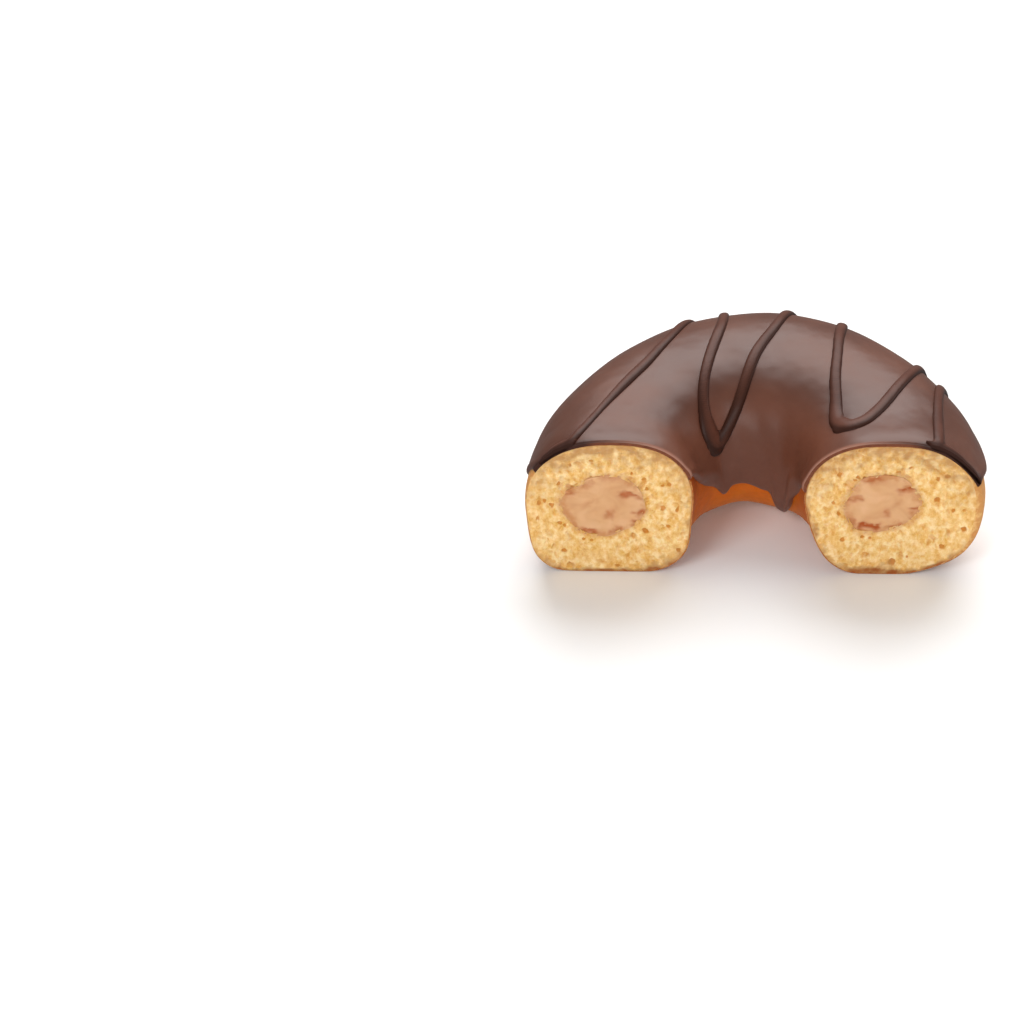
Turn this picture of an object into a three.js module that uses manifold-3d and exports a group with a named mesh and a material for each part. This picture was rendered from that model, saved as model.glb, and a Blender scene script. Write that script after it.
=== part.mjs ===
// Half of a filled ring doughnut, lying flat with its two cut faces towards -Y.
// Three solids: the fried dough, the core of filling that runs round inside it from cut to cut,
// and the coat of icing over its top with the zigzag of thick drizzle set on it.
import * as THREE from "three";
import { ParametricGeometry } from "three/addons/geometries/ParametricGeometry.js";
import { mergeVertices } from "three/addons/utils/BufferGeometryUtils.js";
import Module from "manifold-3d";

const wasm = await Module();
wasm.setup();

// Driving sizes, millimetres. The ring is centred on the Z axis until the last step.
const RING_RADIUS = 45.8; // dough's outer radius at its widest level
const HOLE_RADIUS = 11.9; // hole's radius at its tightest level
const HOLE_SHIFT = -1.2; // the hole sits a little left of the ring's centre
const RISEN_HEIGHT = 36.0; // height of the dough before its underside settles flat
const SETTLE = 0.8; // how much of the underside lies flat on the table
const CUT_DEPTH = 2.2; // the knife passed this far in front of the ring's centre

// Fullness of the dough's section: 2 is an ellipse, and more is squarer.
const TOP_OUTER_FULLNESS = 2.15;
const TOP_INNER_FULLNESS = 2.7;
const BOTTOM_OUTER_FULLNESS = { right: 2.0, left: 4.0 };
const BOTTOM_INNER_FULLNESS = 2.75;
const SWELL = 0.3; // slow unevenness of the ring's width and height

// The core of filling, and the channel that it fills.
const CORE_WIDTH = { right: 15.6, left: 17.4 };
const CORE_HEIGHT = { right: 17.0, left: 18.4 };
const CORE_ACROSS = { right: -2.9, left: 1.1 }; // from the middle of the dough's section
const CORE_LEVEL = 19.3; // height of its centre
const CORE_RAGGED = 0.45; // depth of the folds in its side
const CORE_GAP = 0.3;

// The coat of icing.
const ICING_GAP = 0.3;
const ICING_THICKNESS = 1.0;
const OUTER_EDGE = 12; // degrees above the widest level, outside
const EDGE_RISE = { right: 11, left: 21 }; // degrees that it climbs towards each cut
const EDGE_WAVE = 3; // degrees that it wanders up and down
const INNER_EDGE = 186; // degrees, a little below the widest level, inside the hole
const INNER_SAG = 9; // degrees that it hangs lower at the back of the hole than at the cuts
const DRIPS = [
  { at: 63, reach: 26, width: 8 },
  { at: 123, reach: 6, width: 4 },
]; // runs of icing down the hole's wall: place, length and half width, all in degrees

// The drizzle: half-sunk round strands, one arm of the zigzag per row.
const STRAND_RADIUS = 1.1;
const STRAND_LIFT = 1.55; // centre line above the dough
const STRAND_STEP = 3.0; // length of one facet along a strand
// Turning points in degrees: round the ring from its right end, then round the section from outside.
const ARMS = [
  [[186, 26], [181, 56], [176, 74], [150, 88.5], [132, 85], [116, 69], [107, 46], [101.8, 22]],
  [[101.8, 22], [99, 50], [103.5, 80.5], [125.7, 120.5], [135.5, 134], [137.5, 151], [132.5, 167]],
  [[132.5, 167], [119, 155], [103, 132], [90, 99.5], [83, 76], [79, 48], [71, 23]],
  [[71, 23], [63.5, 50], [55, 88], [36.8, 109.5], [22, 117.5], [12.5, 118]],
  [[12.5, 118], [13.2, 103], [23, 89.5], [32.8, 69], [38.8, 44], [35, 21]],
  [[35, 21], [30.5, 34], [23.8, 50.5], [13, 62.5], [2, 68.5], [-6, 72]],
];
// Pools where two arms meet: the same two angles, then the pool's radius.
const POOLS = [
  [132.8, 163.5, 2.2],
  [14.5, 117, 2.0],
  [-1.5, 72, 1.8],
];

// Fineness of the facets.
const RING_STEPS = 40;
const DOUGH_SIDES = 38;
const CORE_SIDES = 20;
const COAT_SIDES = 36;

const radians = THREE.MathUtils.degToRad;
const mix = (ends, left) => ends.right + (ends.left - ends.right) * left;
const signedPower = (value, power) => Math.sign(value) * Math.abs(value) ** power;
const leftness = (turn) => (1 - Math.cos(turn)) / 2; // 0 at the right cut, 1 at the left
const swellAt = (turn, at, width) => Math.exp(-(((turn - radians(at)) / radians(width)) ** 2));

// The dough's section at one place round the ring: its middle, half width and half height.
function section(turn) {
  const shift = HOLE_SHIFT * Math.cos(turn);
  const inner = shift + Math.sqrt(HOLE_RADIUS ** 2 - HOLE_SHIFT ** 2 + shift ** 2);
  const outer = RING_RADIUS + SWELL * Math.sin(3 * turn + 0.6) + 0.5 * SWELL * Math.sin(7 * turn);
  return {
    middle: (outer + inner) / 2,
    halfWidth: (outer - inner) / 2,
    halfHeight: RISEN_HEIGHT / 2 + 0.7 * SWELL * Math.sin(4 * turn + 1.9),
  };
}

// A point of the dough's outline in its section: distance from the ring's axis, and height.
function outline(turn, angle) {
  const { middle, halfWidth, halfHeight } = section(turn);
  const outward = Math.cos(angle);
  const upward = Math.sin(angle);
  const top = outward >= 0 ? TOP_OUTER_FULLNESS : TOP_INNER_FULLNESS;
  const bottom = outward >= 0 ? mix(BOTTOM_OUTER_FULLNESS, leftness(turn)) : BOTTOM_INNER_FULLNESS;
  const power = 2 / (upward >= 0 ? top : bottom);
  return new THREE.Vector2(
    middle + halfWidth * signedPower(outward, power),
    halfHeight * (1 + signedPower(upward, power)) - SETTLE,
  );
}

// The same point lifted off the dough by some thickness, in the space of the ring.
function onDough(turn, angle, lift, target = new THREE.Vector3()) {
  const point = outline(turn, angle);
  if (lift) {
    const along = outline(turn, angle + 0.001).sub(outline(turn, angle - 0.001)).normalize();
    point.x += lift * along.y;
    point.y -= lift * along.x;
  }
  return target.set(point.x * Math.cos(turn), point.x * Math.sin(turn), Math.max(point.y, 0));
}

// A point of the core's side, or of the channel's side when it is grown by the gap.
function onCore(turn, angle, grow, target) {
  const left = leftness(turn);
  const folds =
    Math.sin(3 * angle + 2 * turn + 0.8) +
    0.8 * Math.sin(5 * angle - 3 * turn) +
    0.5 * Math.sin(8 * angle + 4 * turn + 2);
  const extra = grow + CORE_RAGGED * folds;
  const radius = section(turn).middle + mix(CORE_ACROSS, left)
    + (mix(CORE_WIDTH, left) / 2 + extra) * Math.cos(angle);
  const height = CORE_LEVEL + (mix(CORE_HEIGHT, left) / 2 + extra) * Math.sin(angle);
  return target.set(radius * Math.cos(turn), radius * Math.sin(turn), height);
}

// A point of the coat's closed section: over its outside, then back along its underside.
function onCoat(turn, around, target) {
  const outerEdge = radians(
    OUTER_EDGE +
      EDGE_WAVE * (Math.sin(5 * turn + 1) + 0.5 * Math.sin(11 * turn)) +
      EDGE_RISE.right * swellAt(turn, 0, 28) +
      EDGE_RISE.left * swellAt(turn, 180, 28),
  );
  const drips = DRIPS.reduce((sum, { at, reach, width }) => sum + reach * swellAt(turn, at, width), 0);
  const sag = INNER_SAG * Math.cos(2 * turn) + 8 * swellAt(turn, 180, 12);
  const innerEdge = radians(INNER_EDGE - sag + drips);
  const outside = around < 0.5;
  const along = outside ? around * 2 : 2 - around * 2;
  const angle = outerEdge + (innerEdge - outerEdge) * along;
  const nearEdge = Math.min(along, 1 - along) * 9;
  const thickness = ICING_THICKNESS * Math.sqrt(Math.min(1, 0.25 + nearEdge));
  return onDough(turn, angle, outside ? ICING_GAP + thickness : ICING_GAP, target);
}

// Joins equal points, and drops the triangles that a collapsed end leaves with no area.
function closed(geometry) {
  geometry.deleteAttribute("normal");
  geometry.deleteAttribute("uv");
  const merged = mergeVertices(geometry, 1e-4);
  const index = Array.from(merged.index.array);
  const kept = [];
  for (let i = 0; i < index.length; i += 3) {
    const [a, b, c] = index.slice(i, i + 3);
    if (a !== b && b !== c && c !== a) kept.push(a, b, c);
  }
  merged.setIndex(kept);
  return merged;
}

function toSolid(geometry) {
  const merged = closed(geometry);
  return new wasm.Manifold(
    new wasm.Mesh({
      numProp: 3,
      vertProperties: merged.attributes.position.array,
      triVerts: new Uint32Array(merged.index.array),
    }),
  );
}

// A closed body swept round the ring past both cuts, drawn in to a point at each end.
function sweep(surface, sides) {
  const reach = radians(14);
  const turnAt = (v) => THREE.MathUtils.lerp(-reach, Math.PI + reach, v);
  const grid = new ParametricGeometry(
    (u, v, target) => {
      const turn = turnAt(THREE.MathUtils.clamp((v * (RING_STEPS + 2) - 1) / RING_STEPS, 0, 1));
      const around = u < 0.0001 ? 0 : 1 - u;
      surface(turn, around, target);
      if (v < 0.0001 || v > 0.9999) {
        const opposite = new THREE.Vector3();
        surface(turn, 0.25, target);
        surface(turn, 0.75, opposite);
        target.lerp(opposite, 0.5);
      }
    },
    sides,
    RING_STEPS + 2,
  );
  return toSolid(grid);
}

const dough = sweep((turn, u, target) => onDough(turn, u * 2 * Math.PI, 0, target), DOUGH_SIDES);
const channel = sweep((turn, u, target) => onCore(turn, u * 2 * Math.PI, CORE_GAP, target), CORE_SIDES);
const core = sweep((turn, u, target) => onCore(turn, u * 2 * Math.PI, 0, target), CORE_SIDES);
const coat = sweep(onCoat, COAT_SIDES);

// One arm of the drizzle: a smooth line through its turning points, kept on the icing.
class ArmLine extends THREE.Curve {
  constructor(turningPoints) {
    super();
    this.flat = new THREE.CatmullRomCurve3(
      turningPoints.map(([turn, angle]) => new THREE.Vector3(turn, angle, 0)),
      false,
      "centripetal",
    );
  }
  getPoint(t, target = new THREE.Vector3()) {
    const at = this.flat.getPoint(t);
    return onDough(radians(at.x), radians(at.y), STRAND_LIFT, target);
  }
}

function strand(turningPoints) {
  const line = new ArmLine(turningPoints);
  const round = new THREE.Shape().absarc(0, 0, STRAND_RADIUS, 0, 2 * Math.PI, false);
  return toSolid(
    new THREE.ExtrudeGeometry(round, {
      steps: Math.ceil(line.getLength() / STRAND_STEP),
      curveSegments: 4,
      extrudePath: line,
      bevelEnabled: false,
    }),
  );
}

function pool([turn, angle, radius]) {
  const centre = onDough(radians(turn), radians(angle), STRAND_LIFT);
  const outward = onDough(radians(turn), radians(angle), STRAND_LIFT + 1);
  const drop = new THREE.SphereGeometry(1, 12, 8);
  drop.scale(radius, radius, STRAND_RADIUS);
  drop.applyMatrix4(new THREE.Matrix4().lookAt(outward, centre, new THREE.Vector3(0, 0, 1)));
  drop.translate(centre.x, centre.y, centre.z);
  return toSolid(drop);
}

let icing = coat;
for (const turningPoints of ARMS) {
  icing = icing.add(strand(turningPoints));
}
for (const place of POOLS) {
  icing = icing.add(pool(place));
}

// The knife's cut: only what lies behind its plane is kept.
const KEPT = 120;
const behindCut = toSolid(
  new THREE.BoxGeometry(KEPT, KEPT, KEPT).translate(0, KEPT / 2 - CUT_DEPTH, 0),
);

function toGeometry(solid) {
  const mesh = solid.getMesh();
  const geometry = new THREE.BufferGeometry();
  const points = Float32Array.from(mesh.vertProperties);
  geometry.setAttribute("position", new THREE.BufferAttribute(points, 3));
  geometry.setIndex(new THREE.BufferAttribute(Uint32Array.from(mesh.triVerts), 1));
  geometry.computeVertexNormals();
  return geometry;
}

const half = new THREE.Group();
half.name = "filled_doughnut_half";
for (const [name, solid, color, roughness] of [
  ["dough", dough.subtract(channel), "#d99a4e", 0.75],
  ["filling", core, "#cf9e70", 0.45],
  ["icing", icing, "#6b4a3c", 0.3],
]) {
  const material = new THREE.MeshStandardMaterial({ color, roughness, metalness: 0 });
  const mesh = new THREE.Mesh(toGeometry(solid.intersect(behindCut)), material);
  mesh.name = name;
  half.add(mesh);
}

// The origin goes under the middle of the whole half, on the table.
const bounds = new THREE.Box3().setFromObject(half);
const middle = bounds.getCenter(new THREE.Vector3());
for (const mesh of half.children) {
  mesh.geometry.translate(-middle.x, -middle.y, -bounds.min.z);
}

export default half;
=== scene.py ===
# Half of a filled ring doughnut with cocoa icing and a zigzag of darker drizzle, its cut faces to the front.
import math

import bpy
import numpy as np
from mathutils import Matrix, Vector, kdtree, noise


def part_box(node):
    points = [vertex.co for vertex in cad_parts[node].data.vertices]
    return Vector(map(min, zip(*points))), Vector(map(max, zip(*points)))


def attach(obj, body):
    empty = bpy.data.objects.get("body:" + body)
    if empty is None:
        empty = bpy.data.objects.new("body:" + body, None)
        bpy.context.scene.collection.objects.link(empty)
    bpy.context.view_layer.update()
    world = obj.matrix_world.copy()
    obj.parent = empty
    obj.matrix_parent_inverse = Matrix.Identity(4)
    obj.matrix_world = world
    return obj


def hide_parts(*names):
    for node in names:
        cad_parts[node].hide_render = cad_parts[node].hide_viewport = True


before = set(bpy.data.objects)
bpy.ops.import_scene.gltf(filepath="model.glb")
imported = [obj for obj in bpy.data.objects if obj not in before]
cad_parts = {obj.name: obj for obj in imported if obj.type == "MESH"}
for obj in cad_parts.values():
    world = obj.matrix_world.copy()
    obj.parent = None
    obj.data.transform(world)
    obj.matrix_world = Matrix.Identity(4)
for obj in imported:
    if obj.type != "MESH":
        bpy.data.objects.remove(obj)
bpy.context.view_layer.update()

# --------------------------------------------------------------------------------------------------
# The dough: a thick ring of yeast dough, fried on both sides to a smooth thin golden crust. A knife cut it
# straight across just in front of its middle, which opens a pale crumb full of small bubbles. It is one
# section spun half way round the ring, with a grid from its rim to the filling's channel at each cut.
MM = 0.001  # sizes are in mm unless they say otherwise
CUT_DEPTH = 2.2  # how far in front of the ring's centre the knife passed
CENTRE = np.array([-0.15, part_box("dough")[0].y / MM + CUT_DEPTH, 0.0])  # the ring's centre on the table
CUT_Y = (CENTRE[1] - CUT_DEPTH) * MM  # metres
RING_RADIUS = 45.8
HOLE_RADIUS = 11.9
HOLE_SHIFT = -1.2  # from the ring's centre, to the left
RISEN_HEIGHT = 36.0
SETTLE = 0.9  # how far the risen ring sank as its underside went flat
BODY_LEVEL = 17.2  # the middle of the section, above the table
LEG_MIDDLE = 29  # the middle of each cut face, from the ring's centre
OUTER_TOP, OUTER_BOTTOM = 2.15, 2.0  # how square the section is on its outer side, where 2 is an ellipse
INNER_TOP, INNER_BOTTOM = 2.7, 2.75  # the same on the hole's side
LUMP_SPREAD = 9  # degrees over which a lump fades into the next
CUT_REACH = 6  # how far behind the cuts their own lumps go

# How far the ring stands out from a true ring, in mm, by the turn round it in degrees.
RING_LUMPS = [
    (-8, -0.35), (12, -0.65), (30, 0.0), (50, 0.4), (70, 0.1), (90, 0.6), (110, 0.0), (130, -1.0),
    (150, -1.2), (168, -1.1), (188, -0.7),
]
# How far the two cut sections stand out from the plain one, by the direction from the section's middle.
RIGHT_LUMPS = [
    (-171, -0.3), (-152, -1.2), (-137, -0.8), (-120, 0.1), (-100, 0.2), (-66, -0.8), (-42, 0.2),
    (-29, 0.2), (-17, -0.3), (5, -0.4), (21, 0.1), (40, 0.0), (53, 0.3), (68, 0.9), (99, 1.0),
    (114, 1.2), (129, 1.0), (147, 0.9), (168, 0.8),
]
LEFT_LUMPS = [
    (-176, 0.4), (-160, 0.2), (-140, 0.9), (-125, 0.5), (-100, 0.1), (-74, -0.1), (-50, 0.0),
    (-23, 0.3), (2, 0.6), (13, 0.7), (34, 1.2), (45, 1.1), (67, 0.9), (83, 0.9), (100, 1.0), (130, 1.1),
    (153, 1.2),
]


def section(turn):
    """Middle, half width and half height of the dough's section at a place round the ring."""
    shift = HOLE_SHIFT * np.cos(turn)
    inner = shift + np.sqrt(HOLE_RADIUS ** 2 - HOLE_SHIFT ** 2 + shift ** 2)
    outer = RING_RADIUS + 0.3 * np.sin(3 * turn + 0.6) + 0.15 * np.sin(7 * turn)
    return (outer + inner) / 2, (outer - inner) / 2, RISEN_HEIGHT / 2 + 0.21 * np.sin(4 * turn + 1.9)


def signed_power(value, power):
    return np.sign(value) * np.abs(value) ** power


def rounded_table(table, at, spread, period=None):
    """Reads a table of places and values between its lines, with the corners rounded off over the spread."""
    places, values = np.array(table, float).T
    return sum(np.interp(at + k * spread, places, values, period=period) for k in (-1, -0.5, 0, 0.5, 1)) / 5


def outline(turn, angle):
    """The dough's section at a turn round the ring: distance from the axis and height, before it settles."""
    middle, half_width, half_height = section(turn)
    left = (1 - np.cos(turn)) / 2
    outward, upward = np.cos(angle), np.sin(angle)
    top = np.where(outward >= 0, OUTER_TOP, INNER_TOP)
    bottom = np.where(outward >= 0, OUTER_BOTTOM + 2.0 * left, INNER_BOTTOM)
    power = 2 / np.where(upward >= 0, top, bottom)
    r = middle + half_width * signed_power(outward, power)
    z = half_height * (1 + signed_power(upward, power)) - SETTLE
    near = np.exp(-((np.maximum(r * np.sin(turn) + CUT_DEPTH, 0) / CUT_REACH) ** 2))
    seen = np.degrees(np.arctan2(z - BODY_LEVEL, r - middle))
    right_lump = rounded_table(RIGHT_LUMPS, seen, LUMP_SPREAD, 360)
    left_lump = rounded_table(LEFT_LUMPS, seen, LUMP_SPREAD, 360)
    cut_lump = np.where(left < 0.5, right_lump, left_lump)
    outer_side = np.clip((outward + 0.4) / 1.4, 0, 1)
    ring_lump = rounded_table(RING_LUMPS, np.degrees(turn), LUMP_SPREAD) * outer_side
    push = (near * cut_lump + (1 - near) * ring_lump) / np.hypot(r - middle, z - BODY_LEVEL)
    return r + push * (r - middle), z + push * (z - BODY_LEVEL)


def on_dough(turn, angle, lift):
    """A place lifted off the dough's outline, which rests on the table with a soft edge."""
    step = 0.001
    r, z = outline(turn, angle)
    r1, z1 = outline(turn, angle + step)
    r0, z0 = outline(turn, angle - step)
    length = np.hypot(r1 - r0, z1 - z0)
    r, z = r + lift * (z1 - z0) / length, z - lift * (r1 - r0) / length
    return r, np.maximum((z + np.sqrt(z * z + 0.3)) / 2 - 0.08, 0.0)


def only(*chosen):
    """Selects these objects alone, the first of them active."""
    if bpy.context.object and bpy.context.object.mode != "OBJECT":
        bpy.ops.object.mode_set(mode="OBJECT")
    bpy.ops.object.select_all(action="DESELECT")
    for piece in chosen:
        piece.select_set(True)
    bpy.context.view_layer.objects.active = chosen[0]


def points_of(piece):
    """A piece's points in mm, as rows."""
    flat = np.empty(len(piece.data.vertices) * 3)
    piece.data.vertices.foreach_get("co", flat)
    return flat.reshape(-1, 3) / MM


def place_points(piece, points):
    piece.data.vertices.foreach_set("co", (points * MM).ravel())
    piece.data.update()


ROUND_RADIUS, ROUND_LEVEL = 15, 18  # the plain round that is spun, before it gets its shape
ROUND_REACH = 30  # its distance from the ring's axis
EVENNESS = 0.3  # 1 spaces the steps evenly round the ring, and less draws them towards the cuts


def spun_half(name, sides, steps, shape):
    """A round spun half way round the ring, then moved by shape(turn, angle), which gives radius and height.
    Its two ends are drawn out to lie in the plane of the cut, and its steps are closest there."""
    bpy.ops.object.select_all(action="DESELECT")
    bpy.ops.mesh.primitive_circle_add(
        vertices=sides,
        radius=ROUND_RADIUS * MM,
        rotation=(math.pi / 2, 0, 0),
        location=((CENTRE[0] + ROUND_REACH) * MM, CENTRE[1] * MM, ROUND_LEVEL * MM),
    )
    piece = bpy.context.object
    piece.name = name
    bpy.ops.object.transform_apply(location=True, rotation=True, scale=True)
    bpy.ops.object.mode_set(mode="EDIT")
    bpy.ops.mesh.select_all(action="SELECT")
    bpy.ops.mesh.spin(steps=steps, angle=math.pi, center=tuple(CENTRE * MM), axis=(0, 0, 1))
    bpy.ops.object.mode_set(mode="OBJECT")
    place = points_of(piece) - CENTRE
    share = np.arctan2(np.abs(place[:, 1]), place[:, 0]) / math.pi
    share = EVENNESS * share + (1 - EVENNESS) / 2 * (1 - np.cos(math.pi * share))
    angle = np.arctan2(place[:, 2] - ROUND_LEVEL, np.hypot(place[:, 0], place[:, 1]) - ROUND_REACH)
    reach_right = np.zeros_like(share)
    reach_left = np.zeros_like(share)
    for _ in range(6):
        reach_right = np.arcsin(CUT_DEPTH / shape(-reach_right, angle)[0])
        reach_left = np.arcsin(CUT_DEPTH / shape(math.pi + reach_left, angle)[0])
    turn = -reach_right + (math.pi + reach_right + reach_left) * share
    r, z = shape(turn, angle)
    place_points(piece, np.stack([r * np.cos(turn), r * np.sin(turn), z], axis=1) + CENTRE)
    return piece


def face_out(piece):
    """Joins a piece's seams and turns all its faces outwards."""
    only(piece)
    bpy.ops.object.mode_set(mode="EDIT")
    bpy.ops.mesh.select_all(action="SELECT")
    bpy.ops.mesh.remove_doubles(threshold=0.003 * MM)
    bpy.ops.mesh.normals_make_consistent(inside=False)
    bpy.ops.mesh.select_all(action="DESELECT")
    bpy.ops.object.mode_set(mode="OBJECT")


def behind_cut(turn, angle):
    """How far a place of the dough lies behind the plane of the cut, in mm."""
    return np.maximum(outline(turn, angle)[0] * np.sin(turn) + CUT_DEPTH, 0)


def drawn_in(behind, radius):
    """How far an edge that is rounded off with this radius draws in at a distance behind the cut."""
    left_over = 1 - np.clip(behind / radius, 0, 1)
    return radius * (1 - np.sqrt(1 - left_over ** 2))


CREASE_DEPTH = 0.35
CREASE_LIP = 0.25  # how high the crust swells above the crease
CREASE_FROM, CREASE_TO = 0.75, 2.4  # radians round the ring
CUT_EDGE_RADIUS = 0.3
TORN_EDGE_RADIUS = 1.3  # more, on the outer side of the right leg


def dough_shape(turn, angle):
    """The crust: softly uneven, with a long crease low on the back, its edge rounded over at the cuts."""
    lift = 0.35 + 0.18 * np.sin(5 * turn + 2 * angle) + 0.12 * np.sin(9 * turn - 3 * angle + 1)
    crease = np.radians(-20 + 7 * np.sin(2 * turn + 2.2))
    creased = (turn > CREASE_FROM) * (turn < CREASE_TO)
    along = np.clip(np.sin((turn - CREASE_FROM) * 1.9), 0, 1) ** 0.5 * creased
    lift = lift - CREASE_DEPTH * along * np.exp(-(((angle - crease) / 0.055) ** 2))
    lift = lift + CREASE_LIP * along * np.exp(-(((angle - crease - 0.16) / 0.13) ** 2))
    outer_right = np.exp(-(((angle + 0.15) / 0.75) ** 2)) * (turn < 1.5)
    behind = behind_cut(turn, angle)
    lift = lift * np.clip(behind / 4, 0, 1)
    return on_dough(turn, angle, lift - drawn_in(behind, CUT_EDGE_RADIUS + TORN_EDGE_RADIUS * outer_right))


# The core's section at each cut: its edge's distance from its middle, by the direction from outward.
CORE_RIGHT = [
    (-178, 7.4), (-151, 7.4), (-138, 7.9), (-129, 8.3), (-119, 7.9), (-107, 7.5), (-95, 6.9),
    (-71, 6.6), (-47, 6.3), (-35, 6.7), (-24, 7.2), (-12, 7.5), (11, 8.2), (35, 8.3), (46, 8.5),
    (60, 9.0), (76, 8.6), (98, 8.4), (118, 8.4), (130, 7.9), (143, 7.6), (156, 7.5), (168, 7.7),
]
CORE_LEFT = [
    (-167, 8.7), (-155, 8.4), (-140, 8.6), (-128, 8.1), (-115, 8.0), (-104, 8.4), (-95, 8.7),
    (-85, 8.5), (-66, 9.1), (-49, 8.9), (-38, 8.3), (-26, 8.4), (-1, 9.0), (13, 8.9), (26, 8.2),
    (36, 7.4), (50, 6.7), (63, 7.6), (85, 7.8), (98, 8.3), (110, 8.8), (121, 8.7), (133, 8.6),
    (146, 8.3), (158, 8.2), (170, 8.1),
]
CORE_LEVEL = 19.3
CORE_INWARD = 2.9  # the core's middle from the section's, at the right cut
CORE_DRIFT = 4.0  # how much further out it lies at the left one


def core_middle(turn):
    return section(turn)[0] - CORE_INWARD + CORE_DRIFT / 2 * (1 - np.cos(turn))


def core_shape(turn, angle, grow):
    """The filling's side, grown or shrunk a little. It goes evenly from one cut's edge to the other's."""
    left = (1 - np.cos(turn)) / 2
    right_edge = rounded_table(CORE_RIGHT, np.degrees(angle), 4, 360)
    left_edge = rounded_table(CORE_LEFT, np.degrees(angle), 4, 360)
    radius = right_edge * (1 - left) + left_edge * left + 0.25 * np.sin(6 * turn) * np.sin(3 * angle) + grow
    return core_middle(turn) + radius * np.cos(angle), CORE_LEVEL + 1.03 * radius * np.sin(angle)


CUT_SIDES = 340  # points round each cut
FACE_ROWS = 58  # rows of crumb from its rim to the channel
CHANNEL_INSET = 0.5  # the cream reaches this far past the channel's wall
dough = spun_half("dough_ring", CUT_SIDES, 84, dough_shape)
channel = spun_half("channel", CUT_SIDES, 12, lambda turn, angle: core_shape(turn, angle, -CHANNEL_INSET))
shell_points, channel_points = points_of(dough), points_of(channel)
ends = []
for rim, core in ((shell_points[:CUT_SIDES], channel_points[:CUT_SIDES]),
                  (shell_points[-CUT_SIDES:], channel_points[-CUT_SIDES:])):
    bpy.ops.object.select_all(action="DESELECT")
    bpy.ops.mesh.primitive_grid_add(x_subdivisions=CUT_SIDES, y_subdivisions=FACE_ROWS, size=2)
    end = bpy.context.object
    flat = points_of(end) * MM  # the grid's own places, from -1 to 1
    around = np.rint((flat[:, 0] + 1) / 2 * CUT_SIDES).astype(int) % CUT_SIDES
    inward = ((flat[:, 1] + 1) / 2)[:, None]
    place_points(end, rim[around] * (1 - inward) + core[around] * inward)
    ends.append(end)
rims = np.vstack([shell_points[:CUT_SIDES], shell_points[-CUT_SIDES:]])
core_rims = np.vstack([channel_points[:CUT_SIDES], channel_points[-CUT_SIDES:]])
only(dough, channel, *ends)
bpy.ops.object.join()
face_out(dough)
mesh = dough.data
for polygon in mesh.polygons:
    on_cut = all(abs(mesh.vertices[v].co.y - CUT_Y) < 0.01 * MM for v in polygon.vertices)
    polygon.material_index = int(on_cut)


def tree_of(points):
    tree = kdtree.KDTree(len(points))
    for number, point in enumerate(points):
        tree.insert(point, number)
    tree.balance()
    return tree


CELLS = ((1.7, 0.75, 0.26), (0.85, 0.42, 0.55))  # bubbles of two sizes: width, depth and share that is open
CELL_WALL = 0.42  # of a bubble's width
TALL = 0.75  # the dough rose, so its bubbles are taller than wide
noise.seed_set(1)  # noise_vector gives other bubbles in each run if it isn't seeded


def crumb_depth(x, z):
    """How deep the torn foam lies below the knife's plane at a place of the cut: bubbles with thin
    walls between them, few of them deep."""
    drift = noise.noise_vector(Vector((x / 2.4, 5.0, z / 2.4))) * 1.1
    deep = 0.0
    for cell, most, share in CELLS:
        far, sites = noise.voronoi(Vector(((x + drift.x) / cell, 2.0, (z + drift.z) / cell * TALL)))
        wall = min(1.0, (far[1] - far[0]) / CELL_WALL)
        luck = noise.noise(sites[0] * 7.3) * 0.5 + 0.5
        luck = max(0.0, (luck - 1 + share + 0.25) / (share + 0.25))
        deep += most * luck * wall * wall * (3 - 2 * wall)
    return deep + 0.10 * noise.fractal(Vector((x / 1.0, 9.0, z / 1.0)), 0.9, 2.1, 2)


def browning(x, z, from_rim):
    """How brown the crumb is at a place of the cut: a tan band below the icing, a line above the table
    that is broader where the crumb was pressed, blotches on the hole's side, and little on the outer side."""
    across = abs(x - CENTRE[0]) - LEG_MIDDLE
    away = math.hypot(across, z - BODY_LEVEL)
    outward, upward = across / away, (z - BODY_LEVEL) / away
    blotch = noise.fractal(Vector((x / 2.2, 12.0, z / 2.2)), 0.9, 2.1, 3)
    if x > 0:
        pressed = 2.6 * math.exp(-(((outward + 0.3) / 0.25) ** 2))
    else:
        pressed = 1.8 * math.exp(-(((outward + 0.6) / 0.2) ** 2))
    pressed_depth = max(0.6, 1.1 + (1.0 + pressed) * (1.0 + blotch) - 1.0)
    icing_depth = 6.5 + 3.0 * blotch
    under_icing = max(0.0, upward) * max(0.0, 0.95 + 1.1 * blotch) * max(0.0, 1 - from_rim / icing_depth)
    above_table = max(0.0, -upward - 0.4) * 2.4 * max(0.0, 1 - from_rim / pressed_depth)
    hole_depth = 1.6 + blotch
    at_hole = max(0.0, -outward - 0.1) * max(0.0, 0.5 + 1.6 * blotch) * max(0.0, 1 - from_rim / hole_depth)
    edge = max(0.0, 1.2 - from_rim / 0.45) * (1 - max(0.0, outward))
    return min(1.0, max(min(0.7, 0.75 * under_icing), min(0.85 + 0.3 * blotch, above_table),
                        min(0.75, at_hole), edge))


PORE_RADIUS = 1.25  # of its size
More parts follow.
